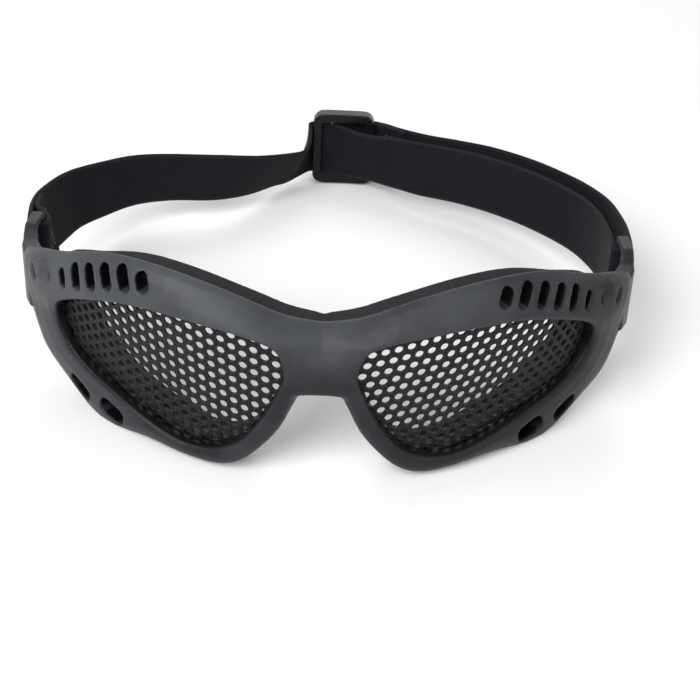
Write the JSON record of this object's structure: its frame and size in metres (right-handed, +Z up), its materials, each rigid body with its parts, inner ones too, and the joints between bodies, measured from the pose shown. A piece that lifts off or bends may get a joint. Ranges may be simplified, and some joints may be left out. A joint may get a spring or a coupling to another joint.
{
  "type": "mesh safety goggles",
  "caption": "Safety goggles with a moulded rubber frame, two curved perforated steel lenses, face foam and a webbing head strap with a slider.",
  "frame": {"origin": "centre of the bounding box's base, on the table that the goggles stand on", "axes": "+Z up from the table, -Y the front that the picture shows, +X the wearer's left; the strap lies behind the frame on +Y"},
  "size_m": [0.1907, 0.1956, 0.0614],
  "materials": {
    "frame_rubber": "satin, fine moulded grain",
    "steel_mesh": "semi-matt black coating on perforated steel",
    "foam": "matt open-cell foam",
    "webbing": "woven elastic webbing",
    "slider_plastic": "gloss black",
    "thread": "sewing thread"
  },
  "bodies": {
    "goggles": {"frame": "frame_rubber", "lens_left": "steel_mesh", "lens_right": "steel_mesh", "face_foam": "foam"},
    "strap": {"strap": "webbing", "ear_tack": "thread"},
    "slider": {"slider": "slider_plastic", "strap_return": "webbing", "slider_tack": "thread"}
  },
  "joints": [
    {"name": "strap_lift", "type": "hinge", "parent": "goggles", "child": "strap", "pos_m": [0, -0.02079, 0.0287], "axis": [1, 0, 0], "range_deg": [0, 30], "deforming": ["strap", "strap_return"]},
    {"name": "slider_adjust", "type": "hinge", "parent": "strap", "child": "slider", "pos_m": [0.002, 0.00202, 0.02575], "axis": [0, -0.1285, -0.9917], "range_deg": [-8, 20], "deforming": ["strap", "strap_return"]}
  ]
}
